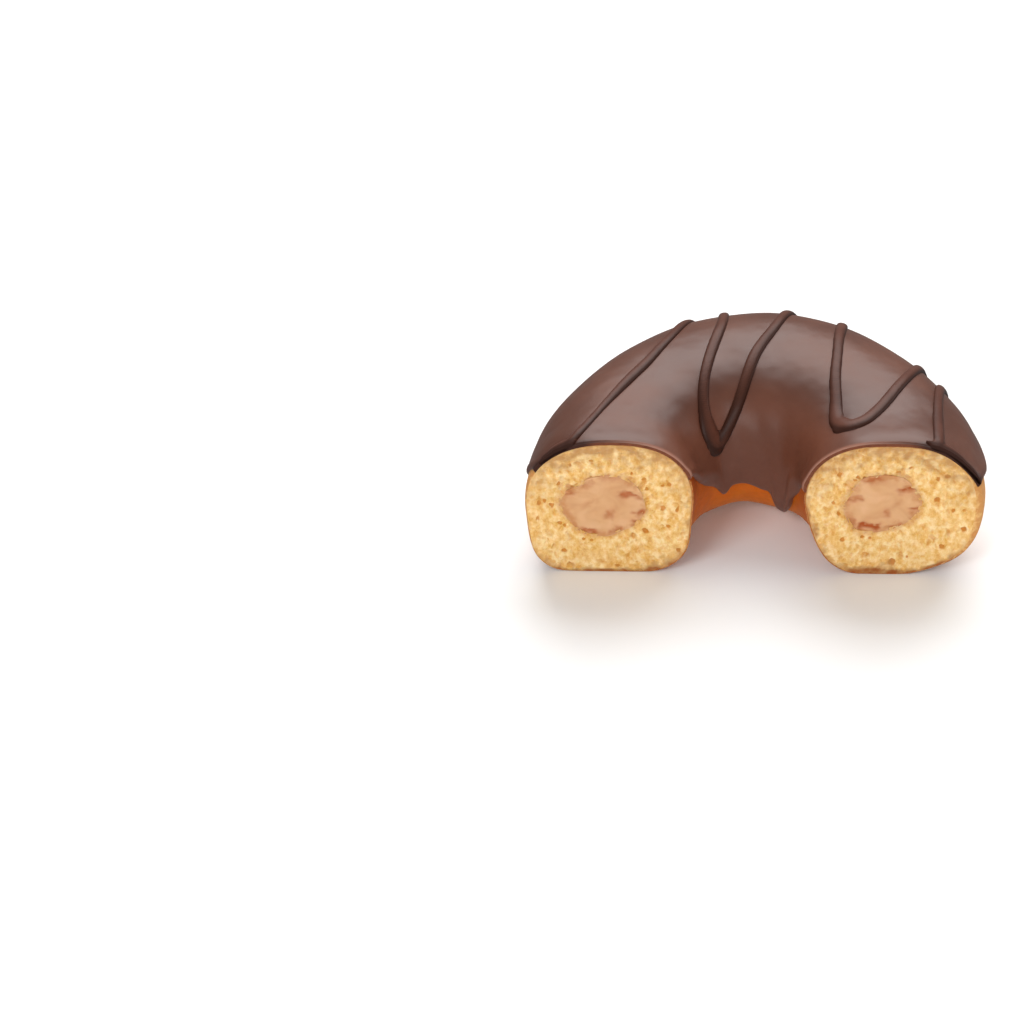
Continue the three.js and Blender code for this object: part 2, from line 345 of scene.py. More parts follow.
# The few pores that stand out on each cut, as x from the ring's centre, height and size.
PORES = [
    (-18.3, 18.3, 0.5), (-15.5, 17.9, 0.4), (-17.3, 13.1, 0.35), (-17.0, 24.9, 0.4), (-18.2, 24.7, 0.3),
    (-24.3, 28.0, 0.35), (-21.9, 26.5, 0.4), (-21.5, 23.7, 0.3), (-43.3, 19.4, 0.4), (-42.2, 20.1, 0.3),
    (-40.7, 19.1, 0.4), (-43.7, 14.9, 0.3), (-39.3, 13.8, 0.4), (-38.3, 13.2, 0.3), (-38.7, 6.0, 0.4),
    (-34.6, 9.4, 0.3), (-33.0, 9.2, 0.3), (-36.6, 30.2, 0.3), (-32.4, 31.4, 0.35), (-39.1, 25.2, 0.45),
    (-22.0, 11.8, 0.55), (-28.0, 1.6, 0.4), (-15.4, 6.4, 0.45), (36.3, 21.3, 0.55), (38.1, 28.0, 0.5),
    (36.3, 27.2, 0.35), (39.6, 18.6, 0.3), (30.8, 30.2, 0.3), (28.4, 28.9, 0.3), (30.9, 5.2, 0.3),
    (27.9, 3.4, 0.6), (17.7, 9.6, 0.35), (16.8, 17.0, 0.4), (16.9, 28.0, 0.45), (20.6, 27.4, 0.4),
    (21.8, 26.9, 0.4), (19.9, 26.5, 0.3), (21.7, 10.8, 0.4), (23.2, 10.5, 0.3), (15.8, 20.4, 0.35),
    (42.0, 13.0, 0.5), (37.6, 8.0, 0.4),
]
rim_tree, core_tree = tree_of(rims), tree_of(core_rims)
pore_tree = tree_of([Vector((x, 0, TALL * z)) for x, z, _ in PORES])
crumb_points = {v for polygon in mesh.polygons if polygon.material_index == 1 for v in polygon.vertices}
points = points_of(dough)
depth, from_core, brown = np.zeros((3, len(points)))
for v in crumb_points:
    x, y, z = points[v]
    from_rim = rim_tree.find((x, y, z))[2]
    from_core[v] = core_tree.find((x, y, z))[2]
    brown[v] = browning(x, z, from_rim)
    deep = crumb_depth(x, z)
    askew = 0.35 * noise.noise_vector(Vector((x / 0.9, 21.0, z / 0.9)))
    _, number, away = pore_tree.find((x - CENTRE[0] + askew.x, 0, TALL * (z + askew.z)))
    radius = PORES[number][2] * PORE_RADIUS
    hollow = max(0.0, 1 - (away / radius) ** 2)
    if hollow > 0:
        deep = max(deep, radius * 0.9 * math.sqrt(hollow))
    # pore_mm also sets painted shade: the deeper a pit, the darker and more amber its floor; listed pores get
    # extra.
    depth[v] = deep + 1.2 * hollow
    sway = 0.25 * noise.noise(Vector((x / 6, 1.0, z / 6)))
    points[v][1] += (deep + sway) * min(1.0, from_rim / 0.5)
place_points(dough, points)
from_axis = np.hypot(*(points - CENTRE)[:, :2].T)
painted = {
    "pore_mm": depth,
    "browning": brown,
    "core_mm": from_core,
    "hole_side": np.clip((25 - from_axis) / 9, 0, 1),
    "behind_mm": points[:, 1] - CUT_Y / MM,
}
for name, values in painted.items():
    mesh.attributes.new(name, "FLOAT", "POINT").data.foreach_set("value", values)
only(dough)
bpy.ops.object.shade_smooth_by_angle(angle=math.radians(60))


def linear(code):
    """An sRGB hex colour as the linear values that a socket takes."""
    parts = [int(code[i:i + 2], 16) / 255 for i in (1, 3, 5)]
    return tuple(p / 12.92 if p <= 0.04045 else ((p + 0.055) / 1.055) ** 2.4 for p in parts) + (1.0,)


def material(name):
    made = bpy.data.materials.new(name)
    made.use_nodes = True
    made.node_tree.nodes.clear()
    return made, made.node_tree


def add(tree, kind, settings=(), stops=(), **sockets):
    """Adds a node with its settings and, for a ramp, its stops as (place, hex colour). Its sockets are
    filled or linked by their name, or by _ and their number."""
    made = tree.nodes.new(kind)
    for name, value in dict(settings).items():
        setattr(made, name, value)
    if stops:
        elements = made.color_ramp.elements
        while len(elements) < len(stops):
            elements.new(0.5)
        for element, (at, code) in zip(elements, stops):
            element.position = at
            element.color = linear(code)
    for name, value in sockets.items():
        socket = made.inputs[int(name[1:]) if name[0] == "_" else name.replace("_", " ")]
        if isinstance(value, bpy.types.NodeSocket):
            tree.links.new(value, socket)
        else:
            socket.default_value = value
    return made


COLOURS = {"data_type": "RGBA"}  # a mix of colours, not of numbers

# Fried dough crust: wheat dough browned in oil. It is smooth and dull with a faint oily sheen, golden above
# and brown below. In the hole it is a deeper orange, partly its own colour and partly painted shade.
# Blisters of 2 to 9 mm mottle its colour.
crust, tree = material("fried_dough_crust")
place = add(tree, "ShaderNodeTexCoord").outputs["Object"]
height = add(tree, "ShaderNodeSeparateXYZ", _0=place).outputs[2]
mottle = add(tree, "ShaderNodeTexNoise", Vector=place, Scale=1 / (9 * MM), Detail=4.0,
             Roughness=0.6).outputs[0]
speckle = add(tree, "ShaderNodeTexNoise", Vector=place, Scale=1 / (1.6 * MM), Detail=3.0,
              Roughness=0.6).outputs[0]
wander = add(tree, "ShaderNodeMath", {"operation": "MULTIPLY_ADD"}, _0=mottle, _1=8 * MM,
             _2=height).outputs[0]
level = add(tree, "ShaderNodeMapRange", Value=wander, From_Min=4 * MM, From_Max=30 * MM).outputs[0]
baked = add(tree, "ShaderNodeValToRGB", _0=level,
            stops=[(0.0, "#9c5a26"), (0.14, "#b07035"), (0.36, "#c58444"), (0.6, "#ce9252"),
                   (1.0, "#c88b4a")]).outputs[0]
# The deeper orange in the hole is partly the crust's own colour and partly painted shade.
in_hole = add(tree, "ShaderNodeAttribute", {"attribute_name": "hole_side"}).outputs["Fac"]
inside = add(tree, "ShaderNodeValToRGB", _0=level,
             stops=[(0.0, "#ca6d0a"), (0.45, "#c05c06"), (1.0, "#a44605")]).outputs[0]
tone = add(tree, "ShaderNodeMix", COLOURS, _0=in_hole, _6=baked, _7=inside).outputs[2]
spots = add(tree, "ShaderNodeMapRange", Value=speckle, From_Min=0.35, From_Max=0.75, To_Min=0.9,
            To_Max=1.08).outputs[0]
multiplied = {"data_type": "RGBA", "blend_type": "MULTIPLY"}
tone = add(tree, "ShaderNodeMix", multiplied, _0=1.0, _6=tone, _7=spots).outputs[2]
from_cut = add(tree, "ShaderNodeAttribute", {"attribute_name": "behind_mm"}).outputs["Fac"]
from_cut = add(tree, "ShaderNodeMath", {"operation": "MULTIPLY_ADD"}, _0=speckle, _1=3.5,
               _2=from_cut).outputs[0]
torn = add(tree, "ShaderNodeMapRange", Value=from_cut, From_Min=1.6, From_Max=2.2, To_Min=0.7,
           To_Max=0.0).outputs[0]
tone = add(tree, "ShaderNodeMix", COLOURS, _0=torn, _6=tone, _7=linear("#e8ba74")).outputs[2]
bumps = add(tree, "ShaderNodeTexNoise", Vector=place, Scale=1 / (0.7 * MM), Detail=4.0,
            Roughness=0.6).outputs[0]
relief = add(tree, "ShaderNodeBump", Strength=0.35, Distance=0.12 * MM, Height=bumps).outputs[0]
blisters = add(tree, "ShaderNodeTexNoise", Vector=place, Scale=1 / (3.5 * MM), Detail=2.0,
               Roughness=0.5).outputs[0]
relief = add(tree, "ShaderNodeBump", Strength=0.6, Distance=0.5 * MM, Height=blisters,
             Normal=relief).outputs[0]
skin = add(tree, "ShaderNodeBsdfPrincipled", Base_Color=tone, Roughness=0.52, Normal=relief,
           Subsurface_Weight=0.25, Subsurface_Radius=(1.6 * MM, 0.8 * MM, 0.35 * MM), Subsurface_Scale=1.0,
           Specular_IOR_Level=0.22)
add(tree, "ShaderNodeOutputMaterial", Surface=skin.outputs[0])

# Yeast crumb: fried dough torn into a fine open foam by the knife. It is matt, pale yellow and lets light
# into it. The floors of its bubbles are darker and more amber than their rims, which is painted shade and
# glow, its torn strands have pale streaks of painted highlight, and its flecks follow the bump, partly its
# own amber spots and partly painted light and shade. Its finest pores are 0.3 to 0.6 mm.
crumb, tree = material("yeast_crumb")
place = add(tree, "ShaderNodeTexCoord").outputs["Object"]
place = add(tree, "ShaderNodeMapping", Vector=place, Scale=(1.0, 1.0, 0.65)).outputs[0]
patches = add(tree, "ShaderNodeTexNoise", Vector=place, Scale=1 / (4 * MM), Detail=3.0,
              Roughness=0.6).outputs[0]
cells = add(tree, "ShaderNodeTexNoise", Vector=place, Scale=1 / (1.25 * MM), Detail=3.5,
            Roughness=0.66).outputs[0]
threads = add(tree, "ShaderNodeTexNoise", {"noise_type": "RIDGED_MULTIFRACTAL"}, Vector=place,
              Scale=1 / (2.6 * MM), Detail=2.0, Roughness=0.5).outputs[0]
tone = add(tree, "ShaderNodeValToRGB", _0=patches,
           stops=[(0.36, "#dfa950"), (0.5, "#e9bb72"), (0.64, "#f0cc90")]).outputs[0]
# The flecks follow the bump: the crumb's own amber spots, with painted highlight and shade on its cells.
fleck = add(tree, "ShaderNodeValToRGB", _0=cells,
            stops=[(0.3, "#cb8832"), (0.45, "#e6b970"), (0.62, "#f9e1b0")]).outputs[0]
tone = add(tree, "ShaderNodeMix", COLOURS, _0=0.62, _6=tone, _7=fleck).outputs[2]
# Painted highlight: pale streaks along the torn strands of the crumb.
strand_highlight = add(tree, "ShaderNodeMapRange", Value=threads, From_Min=0.5, From_Max=1.2, To_Max=0.35).outputs[0]
tone = add(tree, "ShaderNodeMix", COLOURS, _0=strand_highlight, _6=tone, _7=linear("#ffebc2")).outputs[2]
# Painted shade and glow: the deeper a bubble, the darker and more amber its floor.
pore = add(tree, "ShaderNodeAttribute", {"attribute_name": "pore_mm"}).outputs["Fac"]
painted_pit_shade = add(tree, "ShaderNodeMapRange", Value=pore, From_Min=0.12, From_Max=0.8, To_Max=0.85).outputs[0]
tone = add(tree, "ShaderNodeMix", COLOURS, _0=painted_pit_shade, _6=tone, _7=linear("#c67a22")).outputs[2]
near_core = add(tree, "ShaderNodeAttribute", {"attribute_name": "core_mm"}).outputs["Fac"]
near_core = add(tree, "ShaderNodeMath", {"operation": "MULTIPLY_ADD"}, _0=patches, _1=-2.6,
                _2=near_core).outputs[0]
greased = add(tree, "ShaderNodeMapRange", Value=near_core, From_Min=-0.6, From_Max=0.4, To_Min=0.5,
              To_Max=0.0).outputs[0]
tone = add(tree, "ShaderNodeMix", COLOURS, _0=greased, _6=tone, _7=linear("#c98a50")).outputs[2]
browned = add(tree, "ShaderNodeAttribute", {"attribute_name": "browning"}).outputs["Fac"]
tanned = add(tree, "ShaderNodeMapRange", Value=browned, From_Max=0.8).outputs[0]
fried = add(tree, "ShaderNodeMapRange", Value=browned, From_Min=0.7).outputs[0]
tone = add(tree, "ShaderNodeMix", COLOURS, _0=tanned, _6=tone, _7=linear("#b98954")).outputs[2]
tone = add(tree, "ShaderNodeMix", COLOURS, _0=fried, _6=tone, _7=linear("#9c5220")).outputs[2]
relief = add(tree, "ShaderNodeBump", Strength=0.35, Distance=0.25 * MM, Height=cells).outputs[0]
flesh = add(tree, "ShaderNodeBsdfPrincipled", Base_Color=tone, Roughness=0.8, Normal=relief,
            Subsurface_Weight=0.45, Subsurface_Radius=(1.4 * MM, 0.9 * MM, 0.45 * MM), Subsurface_Scale=1.0,
            Specular_IOR_Level=0.3)
add(tree, "ShaderNodeOutputMaterial", Surface=flesh.outputs[0])
mesh.materials.append(crust)
mesh.materials.append(crumb)
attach(dough, "root")
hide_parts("dough")

# --------------------------------------------------------------------------------------------------
# The filling: whipped cocoa and caramel cream, piped right round inside the dough before it was iced. The
# knife smeared it level with the crumb, with a ragged edge where it soaks into the bubbles. It is the same
# half ring as the channel, a little larger, closed at each cut by rings drawn in to its middle.
CREAM_SIDES = 240
CREAM_RINGS = 34
filling = spun_half("cream_filling", CREAM_SIDES, 18, lambda turn, angle: core_shape(turn, angle, 0.0))
cream_points = points_of(filling)
# Where the cream soaked into the crumb, as strokes placed from each core's middle: ends, width, strength.
SOAKED_RIGHT = [
    (-7.4, 1.7, -4.0, 2.3, 0.7, 0.6), (-5.7, -4.0, -5.7, -6.3, 0.7, 0.5),
    (-4.1, -5.4, -0.9, -5.6, 0.9, 1.0), (-3.4, 7.3, -0.8, 7.9, 0.8, 0.7),
    (3.8, 4.6, 6.2, 5.5, 0.7, 1.0), (6.2, -0.7, 7.9, -0.4, 0.7, 0.8), (6.4, -3.0, 7.6, -1.8, 0.6, 0.5),
    (1.7, -6.2, 3.7, -5.3, 0.7, 0.7), (0.9, -1.6, 1.0, -2.0, 0.8, 0.5),
]
SOAKED_LEFT = [
    (-7.8, 3.0, -6.2, 3.6, 0.7, 0.6), (-6.0, -6.4, -5.4, -7.3, 0.7, 0.5),
    (-4.2, -7.4, -2.0, -7.8, 0.8, 0.8), (-3.1, 5.6, -2.1, 5.9, 0.9, 0.35),
    (0.7, 7.6, 2.9, 7.9, 1.0, 0.35), (4.0, 2.8, 6.4, 3.1, 0.7, 0.8), (7.0, 2.3, 7.8, 1.5, 0.6, 0.6),
    (6.7, -2.5, 8.5, -1.9, 0.7, 0.8), (6.6, -5.1, 6.6, -5.4, 0.9, 0.9),
    (1.7, -7.8, 3.3, -6.9, 0.7, 0.6), (1.2, -2.4, 1.2, -3.2, 0.9, 0.5),
]


def soaked_at(x, z):
    """How far the cream has soaked in at a place of the cut."""
    side, turn, strokes = (1, 0.0, SOAKED_RIGHT) if x > CENTRE[0] else (-1, math.pi, SOAKED_LEFT)
    place = Vector((x - CENTRE[0] - side * core_middle(turn), z - CORE_LEVEL))
    place += 0.7 * noise.noise_vector(Vector((x / 1.1, 16.0, z / 1.1))).xz
    most = 0.0
    for x0, z0, x1, z1, wide, strength in strokes:
        start, stroke = Vector((x0, z0)), Vector((x1 - x0, z1 - z0))
        along = min(1.0, max(0.0, (place - start).dot(stroke) / stroke.length_squared))
        away = (place - start - stroke * along).length
        most = max(most, strength * math.exp(-((away / wide) ** 2)))
    return most * min(1.0, max(0.3, 1.15 + 1.1 * noise.noise(Vector((x / 0.9, 14.0, z / 0.9)))))


cut_creams = []
for side, turn, rim in ((1, 0.0, cream_points[:CREAM_SIDES]), (-1, math.pi, cream_points[-CREAM_SIDES:])):
    bpy.ops.object.select_all(action="DESELECT")
    bpy.ops.mesh.primitive_circle_add(vertices=CREAM_SIDES, radius=1.0)
    cut_cream = bpy.context.object
    place_points(cut_cream, rim)
    middle = (float(core_middle(turn)) * side + CENTRE[0], CUT_Y / MM, CORE_LEVEL)
    bpy.ops.object.mode_set(mode="EDIT")
    bpy.ops.mesh.select_all(action="SELECT")
    for ring in range(CREAM_RINGS):
        bpy.ops.mesh.extrude_region_move()
        scale = (CREAM_RINGS - 0.5 - ring) / (CREAM_RINGS + 0.5 - ring)
        bpy.ops.transform.resize(value=(scale, 1, scale), center_override=tuple(c * MM for c in middle))
    bpy.ops.mesh.edge_face_add()
    bpy.ops.object.mode_set(mode="OBJECT")
    cut_creams.append(cut_cream)
only(filling, *cut_creams)
bpy.ops.object.join()
face_out(filling)
points = points_of(filling)
inward = np.full(len(points), 9.0)  # far from any edge, unless it is cut cream
soaked = np.zeros(len(points))
for number, (x, y, z) in enumerate(points):
    if y > CUT_Y / MM + 0.01:
        continue
    inward[number] = core_tree.find((x, y, z))[2] + CHANNEL_INSET
    soaked[number] = soaked_at(x, z)
    smear = 0.10 * noise.noise(Vector((x / 7, 3.0, z / 4)))
    drag = 0.05 * noise.fractal(Vector((x / 1.3, 4.0, z / 1.3)), 0.8, 2.0, 3)
    ragged = 0.35 * noise.noise(Vector((x / 1.6, 6.0, z / 1.6))) * max(0.0, 1 - inward[number] / 2.2)
    hollow = 0.5 * max(0.0, noise.noise(Vector((x / 1.6, 8.0, z / 1.6))) - 0.55)
    points[number][1] += smear + drag + ragged + hollow + 0.3 * soaked[number] - 0.02
place_points(filling, points)
mesh = filling.data
mesh.attributes.new("edge_mm", "FLOAT", "POINT").data.foreach_set("value", inward)
mesh.attributes.new("soaked", "FLOAT", "POINT").data.foreach_set("value", soaked)
only(filling)
bpy.ops.object.shade_smooth_by_angle(angle=math.radians(60))

# Cocoa and caramel cream: fat and sugar whipped smooth. It is dense, softly glossy and a little see-through.
# Where it soaks into the crumb it darkens to caramel, in flecks of 1 to 2 mm.
cream, tree = material("whipped_cocoa_cream")
place = add(tree, "ShaderNodeTexCoord").outputs["Object"]
swirl = add(tree, "ShaderNodeTexNoise", Vector=place, Scale=1 / (5 * MM), Detail=2.0,
            Distortion=0.6).outputs[0]
tone = add(tree, "ShaderNodeValToRGB", _0=swirl,
           stops=[(0.3, "#ca9363"), (0.5, "#d5a272"), (0.72, "#deae80")]).outputs[0]
blotch = add(tree, "ShaderNodeTexNoise", Vector=place, Scale=1 / (1.5 * MM), Detail=3.0,
             Roughness=0.6).outputs[0]
edge = add(tree, "ShaderNodeAttribute", {"attribute_name": "edge_mm"}).outputs["Fac"]
edge = add(tree, "ShaderNodeMath", {"operation": "MULTIPLY_ADD"}, _0=blotch, _1=4.5, _2=edge).outputs[0]
edge = add(tree, "ShaderNodeMath", {"operation": "MULTIPLY_ADD"}, _0=swirl, _1=3.0, _2=edge).outputs[0]
soak = add(tree, "ShaderNodeMapRange", Value=edge, From_Min=3.9, From_Max=5.3, To_Min=0.5,
           To_Max=0.0).outputs[0]
tone = add(tree, "ShaderNodeMix", COLOURS, _0=soak, _6=tone, _7=linear("#c07c42")).outputs[2]
soaked_through = add(tree, "ShaderNodeAttribute", {"attribute_name": "soaked"}).outputs["Fac"]
tone = add(tree, "ShaderNodeMix", COLOURS, _0=soaked_through, _6=tone, _7=linear("#a84a0c")).outputs[2]
relief = add(tree, "ShaderNodeBump", Strength=0.35, Distance=0.15 * MM, Height=blotch).outputs[0]
paste = add(tree, "ShaderNodeBsdfPrincipled", Base_Color=tone, Roughness=0.5, Normal=relief,
            Subsurface_Weight=0.25, Subsurface_Radius=(1.3 * MM, 0.7 * MM, 0.4 * MM), Subsurface_Scale=1.0,
            Specular_IOR_Level=0.35)
add(tree, "ShaderNodeOutputMaterial", Surface=paste.outputs[0])
mesh.materials.append(cream)
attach(filling, "root")
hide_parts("filling")

# --------------------------------------------------------------------------------------------------
# The icing: cocoa icing that the ring's top was dipped in. It set as a smooth skin about 1 mm thick, with a
# clean wavy edge outside and a few runs down the wall of the hole. It is a coat spun round the ring, closed
# all round.
ICING_THICKNESS = 1.0
ICING_AT_CUT = 0.7  # where the knife drew it thin
SUNK_IN = 0.3  # how far the coat's underside reaches into the dough's outline
# Where the icing ends on the hole's wall, in degrees round the section, by the turn in degrees: one broad
# run at 64 and a small one at 122.
INNER_EDGE = [
    (-6, 168), (10, 173), (22.8, 179.5), (33, 182.5), (42, 187.5), (46.4, 192), (49.2, 198.3),
    (53.8, 206.4), (57, 212), (60, 215), (64, 216.5), (67, 216), (69, 212.5), (70.4, 201),
    (73.4, 196.6), (76.6, 195), (83, 195), (90, 193), (97.4, 190.7), (104.6, 189.6), (110.6, 189.6),
    (115, 190.3), (118.7, 194.5), (121.6, 197), (124.6, 194), (128.9, 188.7), (135.2, 185),
    (144.6, 182), (154.3, 179.4), (165, 173), (172, 168), (186, 158),
]


def swell_at(turn, at, width):
    """A smooth swelling of 1 at a place and of this width, both in degrees."""
    return np.exp(-(((turn - math.radians(at)) / math.radians(width)) ** 2))


def icing_top(turn, angle):
    """How far the icing's surface stands off the dough's outline, with the slow waves that it set in."""
    waves = 0.16 * np.sin(4 * turn + 3 * angle) + 0.10 * np.sin(7 * turn - 4 * angle + 2)
    waves = waves + 0.05 * np.sin(15 * turn + 5 * angle)
    behind = behind_cut(turn, angle)
    thin = swell_at(turn, 183, 12) * np.clip(1.3 - angle, 0, 1)
    at_cut = ICING_AT_CUT - 0.35 * thin
    full = ICING_THICKNESS + 0.25 + waves
    thickening = 1 - np.exp(-behind / (2.2 + 6 * thin))
    return at_cut + (full - at_cut) * thickening - drawn_in(behind, CUT_EDGE_RADIUS)


def icing_edges(turn):
    """The icing's outer and inner edge round the section, in radians. The outer one rises at the cuts."""
    outer_edge = 6 + 3 * (np.sin(5 * turn + 1) + 0.5 * np.sin(11 * turn))
    outer_edge = outer_edge + 17 * swell_at(turn, -3, 8) + 31 * swell_at(turn, 183, 6)
    return np.radians(outer_edge), np.radians(rounded_table(INNER_EDGE, np.degrees(turn), 1.6))


def icing_shape(turn, around):
    """The coat's closed section: its first half is the icing's surface and its second half the underside."""
    around = (around % (2 * math.pi)) / (2 * math.pi)
    outer_edge, inner_edge = icing_edges(turn)
    outside = around < 0.5
    s = np.where(outside, around * 2, 2 - around * 2)
    along = 0.5 * s + 0.5 * (1 - np.cos(math.pi * s)) / 2
    angle = outer_edge + (inner_edge - outer_edge) * along
    from_edge = np.minimum(along, 1 - along) * 50
    body = np.sqrt(1 - (1 - np.minimum(from_edge / 1.2, 1)) ** 2)
    body = body + 0.18 * np.exp(-(((from_edge - 2.2) / 1.3) ** 2))
    top = icing_top(turn, angle)
    lift = np.where(outside, -SUNK_IN + (top + SUNK_IN) * body, -SUNK_IN)
    return on_dough(turn, angle, lift)


ICING_SIDES = 220
icing = spun_half("cocoa_icing", ICING_SIDES, 210, icing_shape)
for first in (0, len(icing.data.vertices) - ICING_SIDES):
    only(icing)
    bpy.ops.object.mode_set(mode="EDIT")
    bpy.ops.mesh.select_all(action="DESELECT")
    bpy.ops.object.mode_set(mode="OBJECT")
    for vertex in icing.data.vertices[first:first + ICING_SIDES]:
        vertex.select = True
    bpy.context.tool_settings.mesh_select_mode = (True, False, False)
    bpy.ops.object.mode_set(mode="EDIT")
    bpy.ops.mesh.fill(use_beauty=True)
face_out(icing)
for polygon in icing.data.polygons:
    polygon.material_index = int(polygon.center.y < CUT_Y + 0.01 * MM and abs(polygon.normal.y) > 0.9)
points = points_of(icing)
across = np.abs(points[:, 0] - CENTRE[0]) - LEG_MIDDLE
behind = points[:, 1] - CUT_Y / MM
from_axis = np.hypot(*(points - CENTRE)[:, :2].T)
painted = {
    # Painted highlight: a pinkish line along the icing's cut edge, strongest on the hole's side.
    "painted_lip_highlight": np.exp(-((behind / 0.32) ** 2)) * np.clip(0.1 - across / 12, 0, 0.85),
    # Darker on the outer side of each cut, within about 1.2 mm of it.
    "darkened_near_cut": np.clip((across - 1.5) / 3, 0, 1) * np.clip(1.5 - behind / 0.8, 0, 1),
    "hole_side": np.clip((19.5 - from_axis) / 6, 0, 1),
    # Painted shade in the hollow behind the hole, where the icing curves down into it.
    "painted_hollow_shade": np.exp(-(((from_axis - 19.5) / 4) ** 2)) * np.clip(behind - 6, 0, 4) / 4,
}
for name, values in painted.items():
    icing.data.attributes.new(name, "FLOAT", "POINT").data.foreach_set("value", values)
only(icing)
bpy.ops.object.shade_smooth_by_angle(angle=math.radians(50))

# Cocoa icing: sugar, fat and cocoa set to a smooth satin skin. It is milk brown, and gives a wide soft sheen.
satin, tree = material("set_cocoa_icing")
place = add(tree, "ShaderNodeTexCoord").outputs["Object"]
cloud = add(tree, "ShaderNodeTexNoise", Vector=place, Scale=1 / (14 * MM), Detail=3.0,
            Roughness=0.55).outputs[0]
tone = add(tree, "ShaderNodeValToRGB", _0=cloud,
           stops=[(0.3, "#532f21"), (0.5, "#5b3526"), (0.7, "#633a29")]).outputs[0]
# Painted light: the icing is lighter on the hole's wall, for light bounced up from the table and crumb.
in_hole = add(tree, "ShaderNodeAttribute", {"attribute_name": "hole_side"}).outputs["Fac"]
in_hole = add(tree, "ShaderNodeMath", {"operation": "MULTIPLY"}, _0=in_hole, _1=0.4).outputs[0]
tone = add(tree, "ShaderNodeMix", COLOURS, _0=in_hole, _6=tone, _7=linear("#7d4935")).outputs[2]
# Painted shade: darker icing in the hollow behind the hole.
hollow_shade = add(tree, "ShaderNodeAttribute", {"attribute_name": "painted_hollow_shade"}).outputs["Fac"]
hollow_shade = add(tree, "ShaderNodeMath", {"operation": "MULTIPLY"}, _0=hollow_shade, _1=0.45).outputs[0]
tone = add(tree, "ShaderNodeMix", COLOURS, _0=hollow_shade, _6=tone, _7=linear("#3a1e15")).outputs[2]
# Darker next to the cut on the outer side of each leg.
darkened_near_cut = add(tree, "ShaderNodeAttribute", {"attribute_name": "darkened_near_cut"}).outputs["Fac"]
tone = add(tree, "ShaderNodeMix", COLOURS, _0=darkened_near_cut, _6=tone, _7=linear("#3a1d13")).outputs[2]
# Painted highlight along the icing's cut edge, mostly on the hole's side.
painted_lip_highlight = add(tree, "ShaderNodeAttribute", {"attribute_name": "painted_lip_highlight"}).outputs["Fac"]
tone = add(tree, "ShaderNodeMix", COLOURS, _0=painted_lip_highlight, _6=tone, _7=linear("#ad7a66")).outputs[2]
sag = add(tree, "ShaderNodeTexNoise", Vector=place, Scale=1 / (9 * MM), Detail=2.0, Roughness=0.45).outputs[0]
relief = add(tree, "ShaderNodeBump", Strength=1.0, Distance=0.6 * MM, Height=sag).outputs[0]
ripple = add(tree, "ShaderNodeTexNoise", Vector=place, Scale=1 / (2.2 * MM), Detail=2.0,
             Roughness=0.5).outputs[0]
relief = add(tree, "ShaderNodeBump", Strength=0.15, Distance=0.1 * MM, Height=ripple,
             Normal=relief).outputs[0]
gloss = add(tree, "ShaderNodeMapRange", Value=cloud, From_Min=0.3, From_Max=0.7, To_Min=0.38,
            To_Max=0.47).outputs[0]
coat = add(tree, "ShaderNodeBsdfPrincipled", Base_Color=tone, Roughness=gloss, Normal=relief,
           Subsurface_Weight=0.06, Subsurface_Radius=(1.0 * MM, 0.4 * MM, 0.25 * MM), Subsurface_Scale=1.0,
           Specular_IOR_Level=0.45)
add(tree, "ShaderNodeOutputMaterial", Surface=coat.outputs[0])
icing.data.materials.append(satin)

# The same icing where the knife went through it: matt, darker and redder, as it isn't skinned over.
fresh, tree = material("cut_cocoa_icing")
place = add(tree, "ShaderNodeTexCoord").outputs["Object"]
grain = add(tree, "ShaderNodeTexNoise", Vector=place, Scale=1 / (1.0 * MM), Detail=3.0,
            Roughness=0.6).outputs[0]
tone = add(tree, "ShaderNodeValToRGB", _0=grain,
           stops=[(0.3, "#66351f"), (0.7, "#7c442b")]).outputs[0]
# Darker on the outer side of each cut.
darkened_near_cut = add(tree, "ShaderNodeAttribute", {"attribute_name": "darkened_near_cut"}).outputs["Fac"]
tone = add(tree, "ShaderNodeMix", COLOURS, _0=darkened_near_cut, _6=tone, _7=linear("#3f2015")).outputs[2]
relief = add(tree, "ShaderNodeBump", Strength=0.4, Distance=0.08 * MM, Height=grain).outputs[0]
sliced = add(tree, "ShaderNodeBsdfPrincipled", Base_Color=tone, Roughness=0.6, Normal=relief,
             Specular_IOR_Level=0.25)
add(tree, "ShaderNodeOutputMaterial", Surface=sliced.outputs[0])
icing.data.materials.append(fresh)
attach(icing, "root")
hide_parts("icing")

# --------------------------------------------------------------------------------------------------
# The drizzle: darker icing thrown across the set coat in one zigzag, which pools where it turns and hangs
# over the icing's edge at the back. It is a flat grid rolled into a low bead along its line, fused with a
# flattened ball for each pool and with two flatter beads where the knife dragged it along the cuts.
BEAD_SIDES = 16
BEAD_STEP = 0.4
ROUND_A_RADIAN = 30  # about the length of a radian round the ring
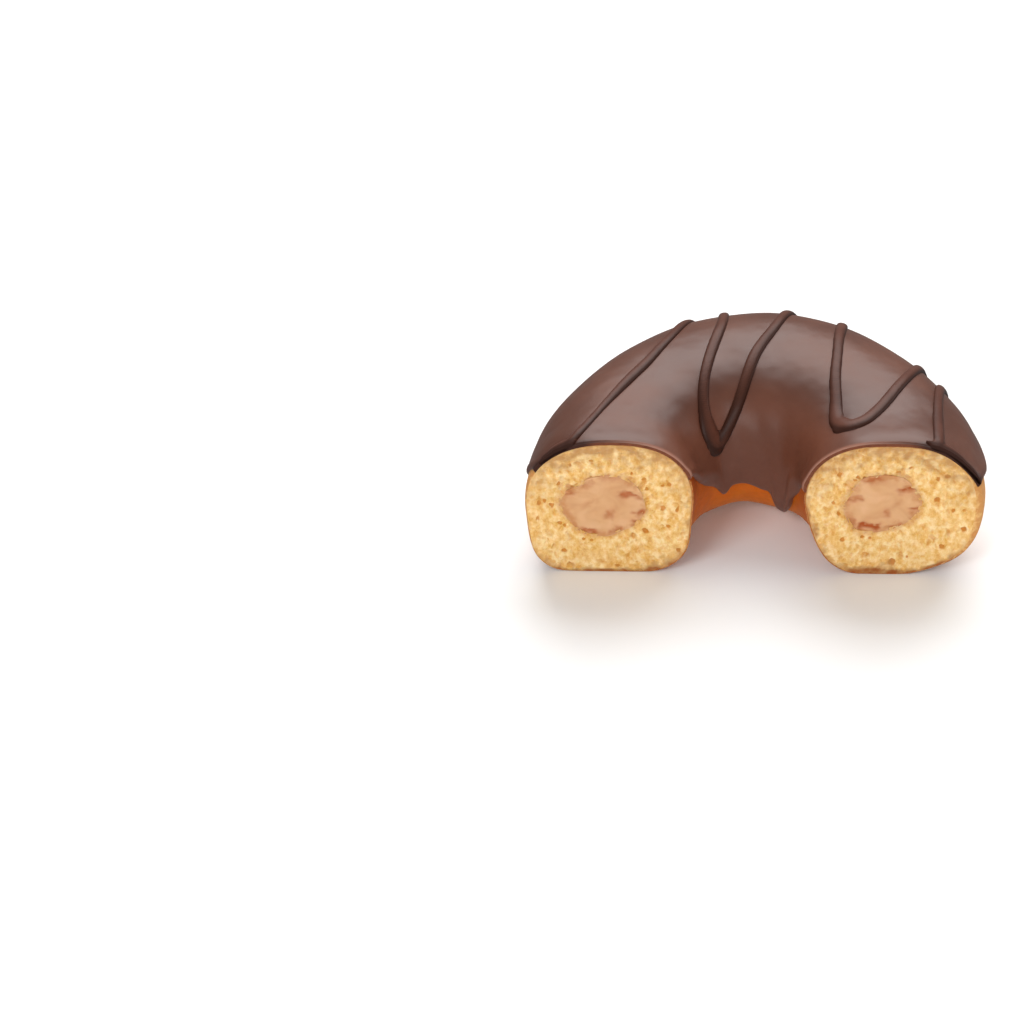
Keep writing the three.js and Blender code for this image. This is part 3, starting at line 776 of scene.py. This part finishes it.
# The zigzag's line, as turn round the ring and angle round the section, in degrees.
ZIGZAG = [
    (185.0, 50), (183.0, 66.5), (177.5, 75.2), (166, 83.3), (150, 87.2), (134, 83.9), (121, 72.5),
    (112.5, 54), (108, 34), (105.3, 14), (103.2, 5), (101.2, 8), (99.3, 28), (99.8, 54), (102.7, 77.5),
    (112, 98), (121, 114), (128.2, 127.6), (132.8, 141), (132.8, 153), (129.5, 162), (121.8, 157.5),
    (109.5, 144.8), (100.8, 130.5), (95.2, 116), (90.3, 99), (83.6, 80), (81.5, 60), (81.0, 46),
    (79.8, 28), (77, -3), (72.5, -12), (69.3, 0), (66.6, 34), (63.6, 58), (59.6, 78), (49, 98),
    (35.5, 111.5), (27, 117.5), (19, 119.4), (11.5, 114.5), (11.6, 106), (17.5, 96.5), (27, 83),
    (32.5, 68), (37.0, 52), (40.6, 35), (42.2, 20), (41.2, 6), (38.2, 0), (35.4, 7), (33.6, 21),
    (30.7, 38), (25, 51.5), (18.5, 59.7), (11, 65), (4, 67.4), (-5, 68.4),
]
# Where the knife dragged it along the left and the right cut, in the same way.
DRAGGED = [
    [(183.0, 71), (183.0, 64), (183.1, 56), (183.2, 48), (183.3, 41)],
    [(-2.2, 76), (-2.9, 68), (-3.1, 58), (-3.1, 46), (-3.1, 34), (-3.1, 25)],
]
# Its pools: the place in the same way, then radius and height.
POOLS = [
    (131.6, 157, 2.2, 0.7), (130.0, 162.5, 2.1, 0.7), (14.5, 117.5, 2.2, 0.75), (16.2, 116.0, 1.7, 0.7),
    (103.3, 7, 1.6, 0.8), (72.6, -9, 1.7, 0.8), (38.2, 4, 1.6, 0.8),
]
BEADS = [(ZIGZAG, 2.45, 0.85), (DRAGGED[0], 4.0, 0.7), (DRAGGED[1], 3.8, 0.7)]  # line, width and height


def smooth_line(turning_points, per_span):
    """Points along a smooth line through the turning points."""
    points = np.array(turning_points, float)
    points = np.vstack([2 * points[0] - points[1], points, 2 * points[-1] - points[-2]])
    line = []
    for a, b, c, d in zip(points, points[1:], points[2:], points[3:]):
        ab, bc, cd = (np.linalg.norm(q - p) ** 0.5 for p, q in ((a, b), (b, c), (c, d)))
        start = ((b - a) / ab - (c - a) / (ab + bc) + (c - b) / bc) * bc
        end = ((c - b) / bc - (d - b) / (bc + cd) + (d - c) / cd) * bc
        for t in np.linspace(0, 1, per_span, endpoint=False):
            line.append((2 * t**3 - 3 * t**2 + 1) * b + (t**3 - 2 * t**2 + t) * start
                        + (3 * t**2 - 2 * t**3) * c + (t**3 - t**2) * end)
    line.append(points[-2])
    return np.array(line)


def on_icing(turn, angle, proud):
    """A place on top of the icing, or on the crust beyond its edge."""
    over = np.clip((angle - icing_edges(turn)[0]) / 0.1 + 0.3, 0, 1)
    top = 0.4 + (icing_top(turn, angle) - 0.4) * over * over * (3 - 2 * over)
    r, z = on_dough(turn, angle, top + proud)
    return np.stack([r * np.cos(turn), r * np.sin(turn), z], axis=-1) + CENTRE


def lengthwise(rows):
    return rows / np.linalg.norm(rows, axis=1, keepdims=True)


sweep = np.radians(np.linspace(-45, 235, 2801))
girth = np.stack(on_dough(np.full(len(sweep), math.pi / 2), sweep, 1.3))
girth = np.concatenate([[0], np.cumsum(np.hypot(*np.diff(girth)))])  # the way round the section at each angle


def thrown_line(turning_points):
    """Stations along a smooth line through the turning points, evenly spaced, as turn and angle."""
    turns, angles = np.radians(turning_points).T
    flat = np.stack([turns * ROUND_A_RADIAN, np.interp(angles, sweep, girth)], axis=1)
    line = smooth_line(flat, 40)
    for _ in range(2):
        foot = on_icing(line[:, 0] / ROUND_A_RADIAN, np.interp(line[:, 1], girth, sweep), 0.0)
        length = np.concatenate([[0], np.cumsum(np.linalg.norm(np.diff(foot, axis=0), axis=1))])
        stations = np.linspace(0, length[-1], int(length[-1] / BEAD_STEP))
        line = np.stack([np.interp(stations, length, column) for column in line.T], axis=1)
        for _ in range(9):
            line[1:-1] = (line[:-2] + 2 * line[1:-1] + line[2:]) / 4
    return line[:, 0] / ROUND_A_RADIAN, np.interp(line[:, 1], girth, sweep)


def width_at(turn, angle, thrown, wide):
    """Half a bead's width: fuller toward the hole and in its pools, thinner on the long run at the left."""
    fuller = np.clip((np.degrees(angle) - 95) / 50, 0, 1)
    pooled = swell_at(turn, 18, 13) * swell_at(angle, 116, 14)
    pooled = pooled + swell_at(turn, 133, 9) * swell_at(angle, 150, 14)
    thinner = swell_at(turn, 170, 22) * thrown
    waves = 0.05 * np.sin(np.arange(len(turn)) * 0.11)
    return wide / 2 * (1 + waves + 0.12 * fuller + 0.5 * pooled - 0.2 * thinner)


beads = []
middles = []
for number, (route, wide, high) in enumerate(BEADS):
    thrown = number == 0
    turn, angle = thrown_line(route)
    foot = on_icing(turn, angle, 0.0)
    up = lengthwise(on_icing(turn, angle, 1.0) - foot)
    across = lengthwise(np.cross(np.gradient(foot, axis=0), up))
    width = width_at(turn, angle, thrown, wide)
    middles += list(zip(foot, width))
    if not thrown:
        width = width * np.clip((1 - np.abs(np.linspace(-1, 1, len(turn)))) * 3, 0.15, 1)
    bpy.ops.object.select_all(action="DESELECT")
    bpy.ops.mesh.primitive_grid_add(x_subdivisions=BEAD_SIDES, y_subdivisions=len(turn) - 1, size=2)
    bead = bpy.context.object
    flat = points_of(bead) * MM  # the grid's own places, from -1 to 1
    roll = (flat[:, 0] + 1) * math.pi
    station = np.rint((flat[:, 1] + 1) / 2 * (len(turn) - 1)).astype(int)
    low = np.clip(width / (wide / 2), 0.6, 1)[station] if thrown else 1.0
    rise = np.where(np.sin(roll) > 0, high * low, 0.4)
    rise = rise * np.abs(np.sin(roll)) ** 0.8 * np.sign(np.sin(roll)) - 0.02
    place_points(bead, foot[station] + across[station] * (np.cos(roll) * width[station])[:, None]
                 + up[station] * rise[:, None])
    bpy.ops.object.mode_set(mode="EDIT")
    bpy.ops.mesh.select_all(action="SELECT")
    bpy.ops.mesh.remove_doubles(threshold=0.005 * MM)
    bpy.ops.mesh.fill_holes(sides=0)
    bpy.ops.mesh.normals_make_consistent(inside=False)
    bpy.ops.object.mode_set(mode="OBJECT")
    beads.append(bead)
for turn, angle, radius, high in POOLS:
    turn, angle = np.radians([turn]), np.radians([angle])
    foot, above = on_icing(turn, angle, 0.0)[0], on_icing(turn, angle, 1.0)[0]
    bpy.ops.object.select_all(action="DESELECT")
    bpy.ops.mesh.primitive_uv_sphere_add(
        segments=32, ring_count=16, radius=1.0,
        location=foot * MM,
        rotation=Vector(above - foot).to_track_quat("Z", "Y").to_euler(),
        scale=(radius * MM, radius * MM, high * MM),
    )
    bpy.ops.object.transform_apply(location=True, rotation=True, scale=True)
    beads.append(bpy.context.object)
only(*beads)
bpy.ops.object.join()
drizzle = bpy.context.object
drizzle.name = "dark_drizzle"
bpy.ops.object.transform_apply(location=True, rotation=True, scale=True)
fuse = drizzle.modifiers.new("fuse", "REMESH")
fuse.mode = "VOXEL"
fuse.voxel_size = 0.22 * MM
bpy.ops.object.modifier_apply(modifier="fuse")
flow = drizzle.modifiers.new("flow", "SMOOTH")
flow.factor = 0.6
flow.iterations = 16
bpy.ops.object.modifier_apply(modifier="flow")
bpy.ops.object.mode_set(mode="EDIT")
bpy.ops.mesh.select_all(action="SELECT")
bpy.ops.mesh.bisect(plane_co=(0, CUT_Y, 0), plane_no=(0, 1, 0), use_fill=True, clear_inner=True,
                    threshold=0.001 * MM)
bpy.ops.object.mode_set(mode="OBJECT")
face_out(drizzle)
middle_tree = tree_of([Vector(place) for place, _ in middles])
points = points_of(drizzle)
# Painted shade on each bead's flanks, most on the side that faces the front, away from the light behind.
painted_flank_shade = np.zeros(len(points))
for number, point in enumerate(points):
    _, nearest, away = middle_tree.find(point)
    middle, half_width = middles[nearest]
    toward_front = (middle[1] - point[1]) / max(away, 0.3)
    starts = 0.5 - 0.2 * np.clip(1.5 * toward_front, 0, 1)
    low_down = np.clip((away / max(half_width, 0.3) - starts) / 0.4, 0, 1)
    painted_flank_shade[number] = low_down * np.clip(0.8 + toward_front, 0, 1)
drizzle.data.attributes.new("painted_flank_shade", "FLOAT", "POINT").data.foreach_set("value", painted_flank_shade)
# Darker and more matt within about 1.5 mm of the cut.
near_cut = np.clip(1.7 - (points[:, 1] - CUT_Y / MM) / 0.9, 0, 1)
drizzle.data.attributes.new("darkened_near_cut", "FLOAT", "POINT").data.foreach_set("value", near_cut)
only(drizzle)
bpy.ops.object.shade_smooth_by_angle(angle=math.radians(50))

# Dark cocoa icing: the same icing with more cocoa. It is deep brown with a softer gloss than the coat, with
# painted shade on its flanks, most on the side that faces the front, and it is matt and nearly black next to
# the cut.
dark, tree = material("dark_cocoa_drizzle")
place = add(tree, "ShaderNodeTexCoord").outputs["Object"]
cloud = add(tree, "ShaderNodeTexNoise", Vector=place, Scale=1 / (6 * MM), Detail=3.0,
            Roughness=0.55).outputs[0]
tone = add(tree, "ShaderNodeValToRGB", _0=cloud,
           stops=[(0.3, "#532f23"), (0.7, "#613a2d")]).outputs[0]
# Painted shade on the flanks of the beads.
flank_shade = add(tree, "ShaderNodeAttribute", {"attribute_name": "painted_flank_shade"}).outputs["Fac"]
tone = add(tree, "ShaderNodeMix", COLOURS, _0=flank_shade, _6=tone, _7=linear("#361c13")).outputs[2]
# Nearly black next to the cut.
darkened_near_cut = add(tree, "ShaderNodeAttribute", {"attribute_name": "darkened_near_cut"}).outputs["Fac"]
tone = add(tree, "ShaderNodeMix", COLOURS, _0=darkened_near_cut, _6=tone, _7=linear("#35190f")).outputs[2]
ripple = add(tree, "ShaderNodeTexNoise", Vector=place, Scale=1 / (1.2 * MM), Detail=2.0,
             Roughness=0.5).outputs[0]
relief = add(tree, "ShaderNodeBump", Strength=0.12, Distance=0.08 * MM, Height=ripple).outputs[0]
gloss = add(tree, "ShaderNodeMapRange", Value=darkened_near_cut, To_Min=0.42, To_Max=0.62).outputs[0]
thread = add(tree, "ShaderNodeBsdfPrincipled", Base_Color=tone, Roughness=gloss, Normal=relief,
             Specular_IOR_Level=0.2)
add(tree, "ShaderNodeOutputMaterial", Surface=thread.outputs[0])
drizzle.data.materials.append(dark)
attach(drizzle, "root")
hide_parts("icing")

# --------------------------------------------------------------------------------------------------
# The table: plain white board, which is only the studio's floor.
bpy.ops.object.select_all(action="DESELECT")
bpy.ops.mesh.primitive_plane_add(size=40, location=(0, 0, 0))
floor = bpy.context.object
floor.name = "table"
white, tree = material("white_board")
board = add(tree, "ShaderNodeBsdfPrincipled", Base_Color=linear("#f4f4f4"), Roughness=0.9,
            Specular_IOR_Level=0.1)
add(tree, "ShaderNodeOutputMaterial", Surface=board.outputs[0])
floor.data.materials.append(white)
floor.visible_glossy = False

# The studio: a wide soft light high behind that gives the icing its sheen, soft fill and a pale room.
scene = bpy.context.scene
scene.view_settings.view_transform = "Standard"
scene.world = bpy.data.worlds.new("pale_room")
scene.world.use_nodes = True
room = scene.world.node_tree.nodes["Background"]
room.inputs["Color"].default_value = (1.0, 1.0, 1.0, 1.0)
room.inputs["Strength"].default_value = 0.26


def soft_light(name, azimuth, rise, away, size, power, seen_in_gloss=True):
    """A soft panel aimed at the doughnut, in degrees and metres. Its azimuth counts from the back."""
    data = bpy.data.lights.new(name, "AREA")
    data.shape = "RECTANGLE"
    data.size, data.size_y = size
    data.energy = power
    lamp = bpy.data.objects.new(name, data)
    scene.collection.objects.link(lamp)
    a, e = math.radians(azimuth), math.radians(rise)
    out = Vector((math.sin(a) * math.cos(e), math.cos(a) * math.cos(e), math.sin(e)))
    lamp.location = out * away + Vector((0, 0, 0.02))
    lamp.rotation_euler = out.to_track_quat("Z", "Y").to_euler()
    lamp.visible_glossy = seen_in_gloss


soft_light("panel_behind", 8, 51, 1.0, (1.2, 0.84), 14.8)
soft_light("glow_right", 80, 8, 0.9, (0.5, 0.3), 1.2)
soft_light("fill_front", 172, 14, 1.1, (0.8, 0.5), 4.1)
soft_light("fill_left", 215, 48, 1.0, (0.35, 0.35), 2.8, seen_in_gloss=False)
soft_light("fill_above", 0, 85, 1.1, (0.8, 0.8), 1.0, seen_in_gloss=False)

# The camera: 0.7 m away and 46 degrees above the table, aimed left of and above the half, which so lies to
# the right of the picture's middle.
DISTANCE = 700.0
RISE = math.radians(46)
TURNED = math.radians(0.7)  # how far the half is turned from facing the camera
PICTURE = 1024  # pixels across
PIXELS_PER_MM = 4.87  # at the ring's centre
CENTRE_ACROSS, CENTRE_DOWN = 754.6, 565.0  # pixels from the picture's top left corner to the ring's centre
toward_x = Vector((math.cos(TURNED), math.sin(TURNED), 0))
toward_y = Vector((-math.sin(TURNED), math.cos(TURNED), 0))
ring_centre = Vector(CENTRE)
stand = ring_centre - toward_y * DISTANCE * math.cos(RISE) + Vector((0, 0, DISTANCE * math.sin(RISE)))
aside = (PICTURE / 2 - CENTRE_ACROSS) / PIXELS_PER_MM
raised = (CENTRE_DOWN - PICTURE / 2) / PIXELS_PER_MM
aim = ring_centre + toward_x * aside + toward_y * raised * math.sin(RISE)
aim = aim + Vector((0, 0, raised * math.cos(RISE)))
lens = bpy.data.cameras.new("camera")
lens.sensor_width = 36
lens.lens = lens.sensor_width * DISTANCE * PIXELS_PER_MM / PICTURE
camera = bpy.data.objects.new("camera", lens)
scene.collection.objects.link(camera)
camera.location = stand * MM
back = (stand - aim).normalized()
level_side = (toward_x - back * toward_x.dot(back)).normalized()
camera.rotation_euler = Matrix((level_side, back.cross(level_side), back)).transposed().to_euler()
scene.camera = camera
